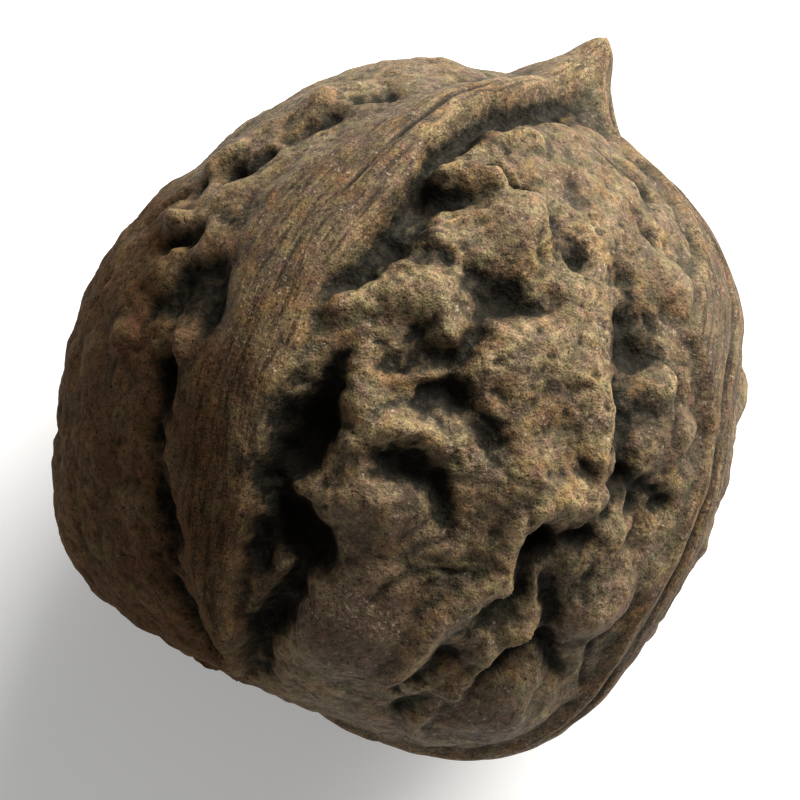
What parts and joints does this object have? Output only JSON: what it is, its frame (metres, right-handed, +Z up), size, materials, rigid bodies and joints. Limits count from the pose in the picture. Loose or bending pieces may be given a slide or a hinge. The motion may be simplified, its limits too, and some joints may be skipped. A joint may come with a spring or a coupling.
{
  "type": "walnut",
  "caption": "Whole walnut in its shell, lying on its side, with raised sutures, a pointed beak and a deeply pitted, wrinkled skin.",
  "frame": {"origin": "middle of the small flat spot that the nut rests on", "axes": "+Z up; the nut's long axis lies nearly level, its beak toward +X and +Y; the most pitted valve faces up"},
  "size_m": [0.0347, 0.0357, 0.0337],
  "materials": {
    "shell": "dry, matt, dark in the pits"
  },
  "bodies": {
    "root": {"walnut": "shell"}
  },
  "joints": []
}
